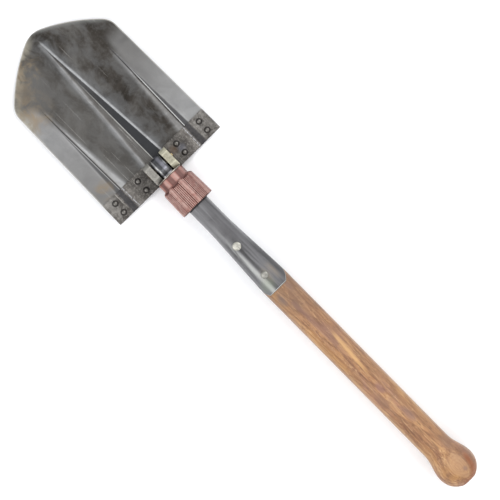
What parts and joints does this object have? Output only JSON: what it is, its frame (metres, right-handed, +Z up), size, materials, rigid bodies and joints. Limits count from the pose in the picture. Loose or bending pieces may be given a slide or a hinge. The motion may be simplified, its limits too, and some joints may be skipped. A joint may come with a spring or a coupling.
{
  "type": "folding camp shovel",
  "caption": "Folding camp shovel: creased pointed steel blade on a pin hinge, ribbed locking nut, tapered steel socket and a wooden handle with a ball end.",
  "frame": {"origin": "on the ground, below the middle of the open shovel's length and width, with the shovel lying on its back", "axes": "+Y towards the blade's tip, +X across the blade to the right seen from above with the tip ahead, +Z up out of the blade's front face"},
  "size_m": [0.1552, 0.6901, 0.0463],
  "materials": {
    "handle_wood": "oiled and worn, with dark grain",
    "socket_steel": "blued dark grey, satin",
    "tongue_steel": "gunmetal, satin",
    "rivet_steel": "dark with worn bright crowns",
    "washer_steel": "bare, lightly stained",
    "nut_plastic": "reddish-brown moulded plastic",
    "insert_metal": "cast, dull",
    "blade_steel": "dark, blotched and scratched, with light rust",
    "bracket_steel": "dark and scratched, with worn bare lugs",
    "pin_metal": "dull, stained"
  },
  "bodies": {
    "handle": {"wooden_handle": "handle_wood", "socket": "socket_steel", "hinge_tongue": "tongue_steel", "socket_rivet_front": "rivet_steel", "socket_rivet_rear": "rivet_steel"},
    "washer": {"thrust_washer": "washer_steel"},
    "nut": {"locking_nut": "nut_plastic", "nut_insert": "insert_metal"},
    "blade": {"blade": "blade_steel", "hinge_bracket_left": "bracket_steel", "hinge_bracket_right": "bracket_steel", "hinge_pin": "pin_metal", "blade_rivet_left_1": "rivet_steel", "blade_rivet_left_2": "rivet_steel", "blade_rivet_left_3": "rivet_steel", "blade_rivet_left_4": "rivet_steel", "blade_rivet_right_1": "rivet_steel", "blade_rivet_right_2": "rivet_steel", "blade_rivet_right_3": "rivet_steel", "blade_rivet_right_4": "rivet_steel"}
  },
  "joints": [
    {"name": "blade_fold", "type": "hinge", "parent": "handle", "child": "blade", "pos_m": [0, 0.14, 0.02565], "axis": [1, 0, 0], "range_deg": [0, 180]},
    {"name": "nut_travel", "type": "slide", "parent": "handle", "child": "washer", "axis": [0, -1, 0], "range_m": [0, 0.012]},
    {"name": "nut_turn", "type": "hinge", "parent": "washer", "child": "nut", "pos_m": [0, 0.12, 0.02315], "axis": [0, -1, 0], "range_deg": [0, 1080]}
  ],
  "couplings": [
    {"joint": "nut_travel", "follows": "nut_turn", "m_per_rad": 0.0006366}
  ]
}
